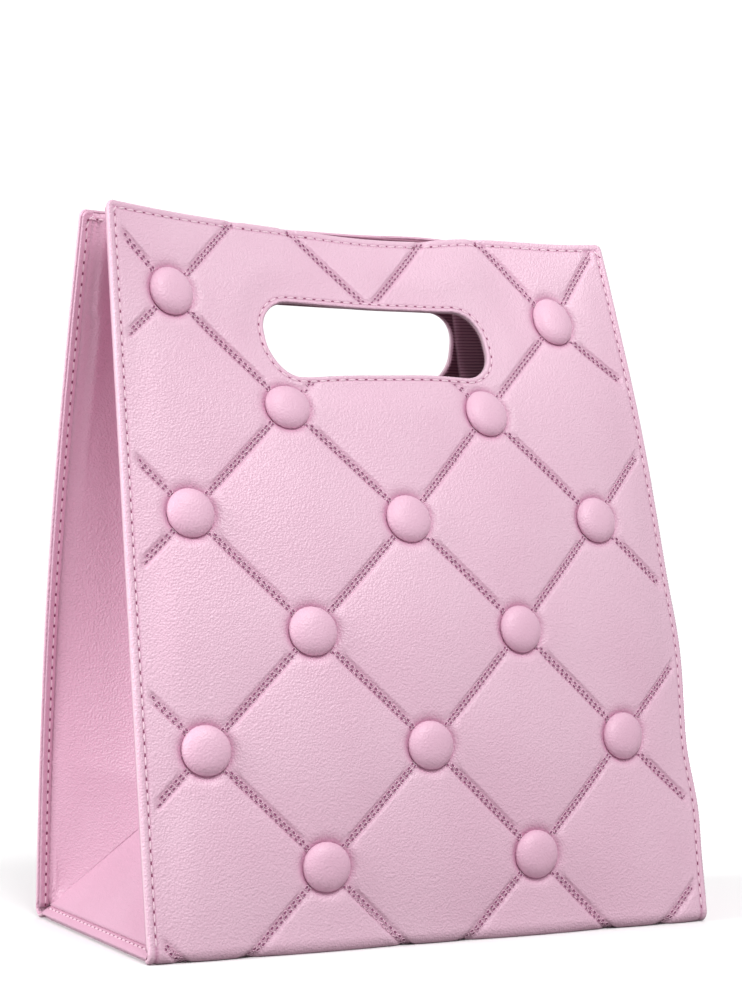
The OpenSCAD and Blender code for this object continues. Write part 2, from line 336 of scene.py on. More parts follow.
# %% Distances in the flat drawing
def inside_outline(x, s, r=CORNER_R):
    """How far inside the panel's outline, whose top corners are rounded."""
    dx, ds = np.abs(x) - (HALF - r), s - (TALL - r)
    return r - np.where((dx > 0) & (ds > 0), np.hypot(dx, ds), np.maximum(dx, ds))


def outside_slot(x, s):
    dx, ds = np.abs(x - SLOT_X) - (SLOT_W - SLOT_R), np.abs(s - SLOT_S) - (SLOT_H - SLOT_R)
    return np.hypot(np.maximum(dx, 0), np.maximum(ds, 0)) \
        + np.minimum(np.maximum(dx, ds), 0) - SLOT_R


def from_lines(x, s):
    """Signed distances to the nearest quilting line of each diagonal family."""
    p = ((x - QUILT_X) + (s - QUILT_S)) / math.sqrt(2)
    q = ((x - QUILT_X) - (s - QUILT_S)) / math.sqrt(2)
    return p - np.round(p / DIAMOND) * DIAMOND, q - np.round(q / DIAMOND) * DIAMOND


buttons = [(col * PITCH + QUILT_X, QUILT_S - row * PITCH / 2)
           for row in range(6) for col in ((-0.5, 0.5) if row % 2 else (-1, 0, 1))
           if row or col]
print(len(buttons), "buttons on each panel")


def from_button(x, s):
    return np.min([np.hypot(x - bx, s - bs) for bx, bs in buttons], axis=0)


# %% [markdown]
# The relief of the moulded skin, as a height over the bowed face: soft pillows, sunken bands along
# both diagonals, a dimple round each button, a slight pull along each row of stitching, and an
# edge that is rounded over. Real quilting would be padded and sewn; here the mould presses it.

# %% Relief of the skin
BAND, BAND_DEEP = 1.55, 0.85         # half width and depth of a pressed band
PILLOW = 1.6                         # height of a diamond's middle
BAND_END = 114.9                     # the bands stop at the side stitching
DIMPLE, STITCH_DEEP, SLOT_DEEP = 1.25, 0.42, 0.38
EDGE_R = 0.9                         # rounding of the skin's cut edges


def relief(x, s):
    p, q = from_lines(x, s)
    inside, off_slot, off_button = inside_outline(x, s), outside_slot(x, s), from_button(x, s)
    a = np.sin(math.pi * np.clip(np.abs(p) - BAND, 0, None) / (DIAMOND - 2 * BAND))
    b = np.sin(math.pi * np.clip(np.abs(q) - BAND, 0, None) / (DIAMOND - 2 * BAND))
    quiet = step(inside, 3.6, 18) * step(off_slot, 3.2, 16)
    height = PILLOW * (np.abs(a * b)) ** 0.62 * quiet
    reach = step(BAND_END - np.abs(x), 0, 0.9) * step(off_slot, 2.4, 3.1)
    line = np.minimum(np.abs(p), np.abs(q))
    height = height - BAND_DEEP * (1 - step(line, BAND - 0.3, BAND + 0.9)) * reach
    ring = np.clip(off_button - BUTTON_R + 0.4, 0, None)
    height = height * step(ring, 0, 5) - DIMPLE * np.exp(-(ring / 2.3) ** 2)
    height = height - STITCH_DEEP * np.exp(-((inside - STITCH_IN) / 0.65) ** 2)
    height = height - SLOT_DEEP * np.exp(-((off_slot - SLOT_STITCH) / 0.6) ** 2)
    for gap in (inside, off_slot):
        short = np.clip(EDGE_R - gap, 0, EDGE_R)
        height = height - (EDGE_R - np.sqrt(np.maximum(EDGE_R ** 2 - short * short, 0)))
    return height + 0.22 * np.sin(x / 17 + 1) * np.sin(s / 23 + 2) * quiet


# %% [markdown]
# The skin's mesh follows its own pattern. Points lie in rows along the bands, in rings round the
# buttons and in lines along the outline and the slot, and a Delaunay triangulation joins them, so
# no band is cut into stairs as a plain square grid would do.

# %% Flat outlines and triangulation
def outline_path(inset, gap, end):
    """Points along the panel's outline, moved in by inset, from bottom left over the top."""
    r, x, top = max(CORNER_R - inset, 0.05), HALF - inset, TALL - inset
    side = np.linspace(end, top - r, max(2, round((top - r - end) / gap)))
    arc = np.linspace(0, math.pi / 2, 6)[1:-1]
    across = np.linspace(-x + r, x - r, max(2, round((2 * x - 2 * r) / gap)))
    left = np.c_[np.full(side.size, -x), side]
    corner = np.c_[-x + r - r * np.cos(arc), top - r + r * np.sin(arc)]
    roof = np.c_[across, np.full(across.size, top)]
    return np.vstack([left, corner, roof, corner[::-1] * (-1, 1), left[::-1] * (-1, 1)])


def slot_path(outset, gap):
    """Points round the hand slot, moved out by outset."""
    r = SLOT_R + outset
    count = max(6, round(r * math.pi / 2 / gap))
    arc = np.linspace(0, math.pi / 2, count)
    quarter = np.c_[np.cos(arc), np.sin(arc)] * r + (SLOT_W - SLOT_R, SLOT_H - SLOT_R)
    half = np.vstack([quarter, _even(quarter[-1], quarter[-1] * (-1, 1), gap),
                      quarter[::-1] * (-1, 1)])
    return np.vstack([half, _even(half[-1], half[-1] * (1, -1), gap), half[::-1] * (1, -1),
                      _even(half[0] * (1, -1), half[0], gap)]) + (SLOT_X, SLOT_S)


def _even(a, b, gap):
    n = max(1, round(np.linalg.norm(np.subtract(b, a)) / gap))
    return [np.add(a, np.subtract(b, a) * k / n) for k in range(1, n)]


def tidy_loop(points):
    """The loop without points that lie on the one before."""
    keep = [points[0]]
    for p in points[1:]:
        if np.hypot(*(p - keep[-1])) > 0.05:
            keep.append(p)
    return np.array(keep)


def triangulate(outer, holes, inner):
    """Triangles between an outer loop, its holes and inner points: (points, faces, loops)."""
    loops, points, edges = [], [], []
    for loop in [outer] + holes:
        first = len(points)
        points += [Vector(p) for p in loop.tolist()]
        ids = list(range(first, len(points)))
        edges += list(zip(ids, ids[1:] + ids[:1]))
        loops.append(ids)
    points += [Vector(p) for p in inner.tolist()]
    made, _, faces, source, _, _ = delaunay_2d_cdt(points, edges, [], 0, 1e-5)
    at = {old: new for new, olds in enumerate(source) for old in olds}
    return np.array([tuple(v) for v in made]), np.array(faces), [[at[i] for i in k] for k in loops]


def keep_faces(points, faces, end, margin, slot_grow):
    """Drops triangles outside the outline, inside the slot or without area."""
    mid = points[faces].mean(axis=1)
    ok = (outside_slot(mid[:, 0], mid[:, 1]) > slot_grow - 0.02) & (mid[:, 1] > end - 1e-6) \
        & (inside_outline(mid[:, 0], mid[:, 1]) > margin - 0.02)
    a, b, c = (points[faces[:, i]] for i in range(3))
    area = np.abs(np.cross(b - a, c - a))
    return faces[ok & (area > 1e-7)]


def make_object(name, points, faces, materials, marks=None):
    """A smooth mesh object at the origin; marks give each face's material."""
    mesh = bpy.data.meshes.new(name)
    mesh.from_pydata([tuple(p) for p in np.asarray(points)], [], [tuple(f) for f in faces])
    for m in materials:
        mesh.materials.append(m)
    if marks is not None:
        mesh.polygons.foreach_set("material_index", np.asarray(marks, np.int32))
    mesh.polygons.foreach_set("use_smooth", np.full(len(mesh.polygons), True))
    mesh.validate()
    made = bpy.data.objects.new(name, mesh)
    bpy.context.scene.collection.objects.link(made)
    return made


# %% [markdown]
# The skin's face needs its points where its shape turns: close together over a band's two edges, in
# rings from the button's rim to the end of the dimple, and along both rows of stitching.

# %% Points of the skin's face
def across_band():
    """Distances from one quilting line to the next at which the skin has a row of points."""
    near = [0, 0.6, 1.2, 1.8, 2.1, 2.4, 2.7, 3.0, 3.4, 4.0, 4.9, 6.2, 8.2, 10.6, 13.3, 16.2, 19.2, 22.3,
            25.5, 28.7, 31.8]
    half = np.array([d for d in near if d < DIAMOND / 2 - 0.3])
    return np.concatenate([half, [DIAMOND / 2], DIAMOND - half[1:][::-1]])


def face_points():
    """Rows along the bands, rings round the buttons, lines along the edges."""
    one = across_band()
    many = np.concatenate([one + k * DIAMOND for k in range(-7, 7)])
    p, q = np.meshgrid(many, many)
    x, s = (p + q).ravel() / math.sqrt(2) + QUILT_X, (p - q).ravel() / math.sqrt(2) + QUILT_S
    ok = (inside_outline(x, s) > 5.6) & (outside_slot(x, s) > 5.2) & (s > 9.5)
    x, s = x[ok], s[ok]
    ok = from_button(x, s) > 14.2
    rows = [np.c_[x[ok], s[ok]]]
    for inset in (0.15, 0.4, 0.8, 1.4, 1.9, 2.3, 2.65, 3.0, 3.35, 3.7, 4.2, 4.8, 5.4):
        rows.append(outline_path(inset, 1.3, 10.0))
    for out in (0.15, 0.4, 0.8, 1.15, 1.45, 1.8, 2.1, 2.4, 2.75, 3.2, 3.7, 4.3, 5.0):
        rows.append(slot_path(out, 1.3))
    for r in (5.0, 8.6, 9.4, 9.9, 10.5, 11.2, 12.1, 13.1, 14.0):
        turn = np.linspace(0, 2 * math.pi, 44, endpoint=False)
        for bx, bs in buttons:
            rows.append(np.c_[bx + r * np.cos(turn), bs + r * np.sin(turn)])
    wide = np.arange(-HALF + 0.6, HALF, 1.2)
    for s in np.arange(END_S + 0.8, 9.6, 0.95):
        rows.append(np.c_[wide, np.full(wide.size, s)])
    points = np.vstack(rows)
    x, s = points.T
    ok = (inside_outline(x, s) > 0.1) & (outside_slot(x, s) > 0.1) & (s > END_S + 0.3)
    return points[ok]


def closed_outline(inset, gap, end):
    """The outline, closed along the panel's lower end."""
    over = outline_path(inset, gap, end)
    under = np.array(_even(over[-1], over[0], gap * 1.5))
    return tidy_loop(np.vstack([over, under]))


outline, rim = closed_outline(0, 1.3, END_S), tidy_loop(slot_path(0, 1.3))
face = triangulate(outline, [rim], face_points())
face_tris = keep_faces(face[0], face[1], END_S, 0, 0)
print("skin face:", len(face[0]), "points", len(face_tris), "triangles")


# %% [markdown]
# Each layer of a panel is one closed sheet. The skin's inner side needs few points, so it has its
# own coarse triangulation that shares the outline; a wall of quads joins the two at every edge.

# %% Layers of a panel
def coarse_points(inset, end, gap, slot_grow):
    """Points for a plain layer: a square grid, and rows along its edges and over the roll."""
    x, s = np.meshgrid(np.arange(-HALF + 3, HALF, gap), np.arange(end + 3, TALL, gap))
    x, s = x.ravel() + 0.37, s.ravel()
    low = np.arange(-HALF + 4, HALF - 3, 4.0)
    points = [np.c_[x, s]]
    if end < ROLL_S:
        points += [np.c_[low, np.full(low.size, v)] for v in np.arange(end + 0.9, 9, 1.0)]
    for more in (0.5, 1.2, 2.2, 3.4):
        points.append(outline_path(inset + more, 2.6, end + 1))
        points.append(slot_path(slot_grow + more, 2.6))
    points = np.vstack(points)
    x, s = points.T
    ok = (inside_outline(x, s) > inset + 0.3) & (outside_slot(x, s) > slot_grow + 0.3) \
        & (s > end + 0.4)
    return points[ok]


def skin_inside(x, s):
    """The skin is turned in at its edges, where it covers the board's edge."""
    edge = np.minimum(inside_outline(x, s), outside_slot(x, s))
    near = np.clip(0.6 - edge, 0, 0.6)
    turned = np.where(s > ROLL_S + 1, 0.9 * (1 - step(edge, 2.2, 3.2)), 0)
    return -SKIN - turned + (0.6 - np.sqrt(np.maximum(0.36 - near * near, 0)))


def two_sided(side, top, bottom, top_w, bottom_w):
    """Joins two triangulations that share their loops into one closed shell."""
    (tp, tf, tl), (bp, bf, bl) = top, bottom
    upper = place(side, tp[:, 0], tp[:, 1], top_w(tp[:, 0], tp[:, 1]))
    lower = place(side, bp[:, 0], bp[:, 1], bottom_w(bp[:, 0], bp[:, 1]))
    faces = [tuple(f) for f in tf] + [tuple(int(i) + len(tp) for i in f[::-1]) for f in bf]
    marks = [0] * len(tf) + [1] * len(bf)
    for k, (a, b) in enumerate(zip(tl, bl)):
        area = sum(tp[i][0] * tp[j][1] - tp[j][0] * tp[i][1] for i, j in zip(a, a[1:] + a[:1]))
        turned = (area > 0) == (k == 0)
        for i, j, m, n in zip(a, a[1:] + a[:1], b, b[1:] + b[:1]):
            quad = (i, m + len(tp), n + len(tp), j)
            faces.append(quad if turned else quad[::-1])
            marks.append(2)
    return np.vstack([upper, lower]), faces, marks


inner = triangulate(outline, [rim], coarse_points(0, END_S, 7.0, 0))
inner_tris = keep_faces(inner[0], inner[1], END_S, 0, 0)


def level(w):
    """A height function for a layer with a flat face."""
    return lambda x, s: np.full(np.shape(x), float(w))


def make_layer(side, name, inset, end, slot_grow, w_out, w_in, material, gap=6.0):
    """A plain sheet such as the board or the lining, cut smaller than the skin."""
    loop = closed_outline(inset, 2.2, end)
    hole = tidy_loop(slot_path(slot_grow, 2.0))
    flat = triangulate(loop, [hole], coarse_points(inset, end, gap, slot_grow))
    tris = keep_faces(flat[0], flat[1], end, inset, slot_grow)
    flat = (flat[0], tris, flat[2])
    points, faces, _ = two_sided(side, flat, flat, level(w_out), level(w_in))
    return make_object(name, points, faces, [material])


def pressed(x, s):
    """How much painted shade tints the skin a deeper pink, 0 to 1: in the pressed bands, round each
    button's dimple and along the rows of stitching, where shade falls.
    """
    p, q = from_lines(x, s)
    inside, off_slot, off_button = inside_outline(x, s), outside_slot(x, s), from_button(x, s)
    reach = step(BAND_END - np.abs(x), 0, 0.9) * step(off_slot, 2.4, 3.1)
    band = (1 - step(np.minimum(np.abs(p), np.abs(q)), BAND - 0.3, BAND + 1.0)) * reach
    ring = np.exp(-(np.clip(off_button - BUTTON_R, 0, None) / 1.5) ** 2)
    rows = np.maximum(np.exp(-((inside - STITCH_IN) / 0.55) ** 2),
                      np.exp(-((off_slot - SLOT_STITCH) / 0.5) ** 2))
    return np.clip(np.maximum.reduce([0.18 * band, 0.7 * ring, 0.75 * rows]), 0, 1)


def make_skin(side, name):
    points, faces, marks = two_sided(side, (face[0], face_tris, face[2]),
                                     (inner[0], inner_tris, inner[2]), relief, skin_inside)
    made = make_object(name, points, faces, [PANEL, GUSSET, EDGE], marks)
    # The "pressed" values are painted shade for the skin's grooves, dimples and stitch rows.
    painted_shade = np.concatenate([pressed(face[0][:, 0], face[0][:, 1]), np.zeros(len(inner[0]))])
    mark = made.data.attributes.new("pressed", "FLOAT", "POINT")
    mark.data.foreach_set("value", painted_shade.astype(np.float32))
    return made


parts = {}
for side in ("front", "back"):
    title = side.capitalize()
    skin = parts[side, "skin"] = make_skin(side, title + "_quilted_skin")
    parts[side, "board"] = make_layer(side, title + "_stiffening_board", inset=3.6, end=9.0,
                                      slot_grow=3.6, w_out=-2.0, w_in=-3.2, material=BOARD)
    parts[side, "lining"] = make_layer(side, title + "_ribbed_lining", inset=0.7, end=7.0,
                                       slot_grow=0.5, w_out=-3.2, w_in=-3.6, material=LINING)
    print(title, "skin:", len(skin.data.polygons), "faces")

# %% [markdown]
# The buttons are domes with a rolled-under rim, each sunk in its dimple. One profile is spun and
# laid on the bowed face, so every dome tilts with the leather under it.

# %% Buttons
def make_buttons(side, name, turns=36):
    """All of one panel's buttons; the profile is (radius, height over the panel's face)."""
    profile = [(0.0, 3.55), (1.6, 3.52), (3.2, 3.42), (4.8, 3.2), (6.2, 2.82), (7.4, 2.28),
               (8.3, 1.62), (8.95, 0.9), (9.35, 0.25), (BUTTON_R, -0.4), (9.4, -0.9),
               (8.9, -1.25), (5.0, -1.5)]
    turn = np.linspace(0, 2 * math.pi, turns, endpoint=False)
    points, faces = [], []
    for bx, bs in buttons:
        first = len(points)
        points.append((bx, bs, profile[0][1]))
        for r, w in profile[1:]:
            points += [(bx + r * math.cos(a), bs + r * math.sin(a), w) for a in turn]
        last = len(points)
        points.append((bx, bs, profile[-1][1]))

        def ring(k, i):
            return first + 1 + (k - 1) * turns + i % turns

        for i in range(turns):
            faces.append((first, ring(1, i), ring(1, i + 1)))
            faces.append((last, ring(len(profile) - 1, i + 1), ring(len(profile) - 1, i)))
            for k in range(1, len(profile) - 1):
                faces.append((ring(k, i), ring(k + 1, i), ring(k + 1, i + 1), ring(k, i + 1)))
    x, s, w = np.array(points).T
    return make_object(name, place(side, x, s, w), faces, [BUTTON])


for side in ("front", "back"):
    parts[side, "buttons"] = make_buttons(side, side.capitalize() + "_domed_buttons")
    print(side, "buttons:", len(parts[side, "buttons"].data.polygons), "faces")

# %% [markdown]
# Rings, needle holes and stitches repeat by the hundred, so Geometry Nodes lay them. One tree
# takes paths that lie on the leather and stands a small shape on them at a given pitch, turned
# along the path and away from the leather. The result is made real and kept as a plain mesh.

# %% Tree that lays a small shape along paths
def row_tree(name, shape, material):
    """A tree that stands a ring, a pit or a stitch of the given size along each path."""
    tree = bpy.data.node_groups.new(name, "GeometryNodeTree")
    face_in = tree.interface
    face_in.new_socket("Geometry", in_out="INPUT", socket_type="NodeSocketGeometry")
    for label in ("Pitch", "Length", "Width", "Height", "Shift"):
        face_in.new_socket(label, in_out="INPUT", socket_type="NodeSocketFloat")
    face_in.new_socket("Geometry", in_out="OUTPUT", socket_type="NodeSocketGeometry")
    given = put(tree, "NodeGroupInput")
    curve = put(tree, "GeometryNodeMeshToCurve", Mesh=(given, "Geometry"))
    even = put(tree, "GeometryNodeResampleCurve", {"mode": "LENGTH"}, Curve=(curve, 0),
               Length=(given, "Pitch"))
    if shape == "ring":
        path = put(tree, "GeometryNodeCurvePrimitiveCircle", {"Resolution": 8, "Radius": 0.41})
        tube = put(tree, "GeometryNodeCurvePrimitiveCircle", {"Resolution": 4, "Radius": 0.11})
        small = put(tree, "GeometryNodeCurveToMesh", Curve=(path, 0), Profile_Curve=(tube, 0))
        small_out = (small, 0)
    elif shape == "pit":
        small = put(tree, "GeometryNodeMeshUVSphere", {"Segments": 8, "Rings": 3, "Radius": 0.5})
        small_out = (small, 0)
    else:
        small = put(tree, "GeometryNodeMeshUVSphere", {"Segments": 6, "Rings": 5, "Radius": 0.5})
        lying = put(tree, "GeometryNodeTransform", {"Rotation": (0, math.pi / 2, 0)},
                    Geometry=(small, 0))
        small_out = (lying, 0)
    size = put(tree, "ShaderNodeCombineXYZ", X=(given, "Length"), Y=(given, "Width"),
               Z=(given, "Height"))
    shift = put(tree, "ShaderNodeCombineXYZ", X=(given, "Shift"))
    sized = put(tree, "GeometryNodeTransform", Geometry=small_out, Translation=(shift, 0),
                Scale=(size, 0))
    along = put(tree, "GeometryNodeInputTangent")
    away = put(tree, "GeometryNodeInputNamedAttribute", {"data_type": "FLOAT_VECTOR",
               "Name": "away"})
    turn = put(tree, "FunctionNodeAlignRotationToVector", {"axis": "X"}, Vector=(along, 0))
    stand = put(tree, "FunctionNodeAlignRotationToVector", {"axis": "Z", "pivot_axis": "X"},
                Rotation=(turn, 0), Vector=(away, 0))
    laid = put(tree, "GeometryNodeInstanceOnPoints", Points=(even, 0), Instance=(sized, 0),
               Rotation=(stand, 0))
    real = put(tree, "GeometryNodeRealizeInstances", Geometry=(laid, 0))
    made = put(tree, "GeometryNodeSetMaterial", {"Material": material}, Geometry=(real, 0))
    put(tree, "NodeGroupOutput", Geometry=(made, 0))
    return tree


def lay_row(name, tree, paths, **sizes):
    """Runs a row tree over paths of (points, away) in metres; sizes are in mm."""
    points, edges, away = [], [], []
    for line, out in paths:
        first = len(points)
        points += [tuple(p) for p in line]
        away += [tuple(v) for v in out]
        edges += [(i, i + 1) for i in range(first, len(points) - 1)]
    mesh = bpy.data.meshes.new(name + "_path")
    mesh.from_pydata(points, edges, [])
    mark = mesh.attributes.new("away", "FLOAT_VECTOR", "POINT")
    mark.data.foreach_set("vector", np.array(away, np.float32).ravel())
    path = bpy.data.objects.new(name + "_path", mesh)
    bpy.context.scene.collection.objects.link(path)
    modifier = path.modifiers.new("Row", "NODES")
    modifier.node_group = tree
    for item in tree.interface.items_tree:
        if item.in_out == "INPUT" and item.name in sizes:
            modifier[item.identifier] = sizes[item.name] * 0.001
    whole = path.evaluated_get(bpy.context.evaluated_depsgraph_get())
    plain = bpy.data.meshes.new_from_object(whole)
    plain.name = name
    if "away" in plain.attributes:
        plain.attributes.remove(plain.attributes["away"])
    made = bpy.data.objects.new(name, plain)
    bpy.context.scene.collection.objects.link(made)
    bpy.data.objects.remove(path)
    print(name, len(plain.polygons), "faces")
    return made


RINGS = row_tree("Rings along a band", "ring", PANEL)
HOLES = row_tree("Needle holes", "pit", PIT)
EYE_SHADE_TREE = row_tree("Painted shade in the rings' eyes", "pit", EYE_SHADE)
STITCHES = row_tree("Stitches", "stitch", THREAD)


def on_leather(side, x, s, w, inwards=False):
    """Points and outward directions on a panel, for a path."""
    x, s = np.asarray(x, float), np.asarray(s, float)
    here, above = place(side, x, s, w), place(side, x, s, np.asarray(w) + 1.0)
    out = (above - here) * 1000
    return here, -out if inwards else out


# %% [markdown]
# Two rows of rings run down every band, as pressed by the mould, and the second row is half a
# ring behind the first. Each ring's eye is a dark disc: painted shade in its hole. The bands stop
# at the buttons, at the side stitching and at the hand slot's stitching.

# %% Rings along the bands
def band_runs(offset):
    """Flat polylines along every quilting line, moved sideways by offset mm."""
    runs = []
    for turn in (1, -1):
        for k in range(-7, 8):
            u = np.arange(-330, 330, 0.8)
            d = k * DIAMOND + offset
            p, q = (d, u) if turn == 1 else (u, d)
            x = (p + q) / math.sqrt(2) + QUILT_X
            s = (p - q) / math.sqrt(2) + QUILT_S
            ok = (np.abs(x) < 113.9) & (s < TALL - 1.7) & (s > END_S + 1.5) \
                & (from_button(x, s) > BUTTON_R + 0.9) & (outside_slot(x, s) > 3.2)
            cut = np.flatnonzero(np.diff(ok.astype(int))) + 1
            for part in np.split(np.arange(u.size), cut):
                if ok[part[0]] and part.size > 6:
                    runs.append((x[part], s[part]))
    return runs


ROW_OFFSET, RING_PITCH = 0.68, 2.45  # each row's distance from the band's middle, and its pitch
for side in ("front", "back"):
    title = side.capitalize()
    rings, eyes = [], []
    for offset in (-ROW_OFFSET, ROW_OFFSET):
        for x, s in band_runs(offset):
            if offset > 0:
                x, s = x[2:], s[2:]
            rings.append(on_leather(side, x, s, relief(x, s) + 0.14))
            eyes.append(on_leather(side, x, s, relief(x, s) + 0.06))
    parts[side, "rings"] = lay_row(title + "_quilt_rings", RINGS, rings, Pitch=RING_PITCH, Length=2.35,
                                   Width=1.5, Height=2.4)
    # The eyes are dark discs of painted shade, one in each ring's hole.
    parts[side, "eyes"] = lay_row(title + "_quilt_eye_shades", EYE_SHADE_TREE, eyes, Pitch=RING_PITCH, Length=1.45,
                                  Width=0.85, Height=0.16)


# %% [markdown]
# Stitching: a lockstitch of pale thread about 3 mm long every 4 mm, with a needle hole between
# two stitches, painted dark for the shade in it. One row follows the top and sides and shows again
# on the inside; one rounds the hand slot.

# %% Rows of stitching on the panels
def edge_row(inset=STITCH_IN):
    """The row inside a panel's sides and top."""
    path = outline_path(inset, 1.5, 8.5)
    return path[:, 0], path[:, 1]


def slot_row(grow=SLOT_STITCH):
    """The row round the hand slot, closed."""
    path = slot_path(grow, 1.0)
    path = np.vstack([path, path[:1]])
    return path[:, 0], path[:, 1]


LINING_IN, BORDER_IN = -3.64, -4.86  # where thread shows inside: on the lining, on the border
DASH = dict(Pitch=4.3, Length=3.2, Width=0.8, Height=0.7)
GAP = dict(Pitch=4.3, Length=1.5, Width=0.95, Height=0.16, Shift=2.15)
for side in ("front", "back"):
    title = side.capitalize()
    for what, (x, s) in (("edge", edge_row()), ("slot", slot_row())):
        outer = on_leather(side, x, s, relief(x, s) + 0.10)
        pits = on_leather(side, x, s, relief(x, s) + 0.05)
        under = np.where(np.abs(x) > 115.0, BORDER_IN, LINING_IN)
        inside = on_leather(side, x, s, under - 0.06, True)
        inner_pits = on_leather(side, x, s, under - 0.03, True)
        rows, marks = ([outer, inside], [pits, inner_pits]) if what == "edge" else ([outer], [pits])
        parts[side, what + "_thread"] = lay_row(f"{title}_{what}_stitches", STITCHES, rows, **DASH)
        # The needle holes are dark discs of painted shade.
        parts[side, what + "_holes"] = lay_row(f"{title}_{what}_needle_holes", HOLES, marks, **GAP)

# %% [markdown]
# The gusset. Each half is one sheet that starts at the seam inside a panel's side edge and ends at
# the diagonal crease and the valley; it is ruled from one to the other, as creased sheet really is,
# and drawn in a little. The foot is the triangle between the two diagonals.

# %% Gusset sheets
LEAF_W = 61.2


SEAM_X = 115.5                       # the gusset's crease, beside the panel's edge
APEX_X, APEX_Z = 79.3, 55.6          # where the two diagonals and the valley meet
TIP_X = {-1: 54.5, 1: 46.0}          # the valley's upper end, left and right
TIP_Z = 277.5
VALLEY_GAP = 1.2                     # each half stops this far from the valley's middle


def seam_line(side, hand, n):
    """The crease beside a panel's seam, bottom to top; hand is -1 for the left of the bag."""
    s = np.linspace(ROLL_S + 0.2, TALL - 1.1, n)
    local = hand * SEAM_X if side == "front" else -hand * SEAM_X
    return place(side, np.full(n, local), s, -4.0) * 1000


def thick(name, P, outward, w0, w1, materials):
    """A closed sheet from a grid of points in mm, between heights w0 and w1 along outward."""
    m, n = P.shape[:2]
    du, dv = np.gradient(P, axis=0), np.gradient(P, axis=1)
    N = np.cross(du, dv)
    N /= np.maximum(np.linalg.norm(N, axis=2, keepdims=True), 1e-9)
    if (N.reshape(-1, 3).mean(axis=0) @ np.asarray(outward)) < 0:
        N = -N
        P, N = P[::-1], N[::-1]
    top, low = (P + N * w1).reshape(-1, 3), (P + N * w0).reshape(-1, 3)
    faces = []

    def at(i, j, k):
        return k * m * n + i * n + j

    for i in range(m - 1):
        for j in range(n - 1):
            faces.append((at(i, j, 0), at(i + 1, j, 0), at(i + 1, j + 1, 0), at(i, j + 1, 0)))
            faces.append((at(i, j, 1), at(i, j + 1, 1), at(i + 1, j + 1, 1), at(i + 1, j, 1)))
    edge = [(i, 0) for i in range(m)] + [(m - 1, j) for j in range(1, n)] \
        + [(i, n - 1) for i in range(m - 2, -1, -1)] + [(0, j) for j in range(n - 2, 0, -1)]
    for (i, j), (k, l) in zip(edge, edge[1:] + edge[:1]):
        faces.append((at(i, j, 0), at(i, j, 1), at(k, l, 1), at(k, l, 0)))
    points = np.vstack([top, low]) * 0.001
    return make_object(name, points, faces, materials)


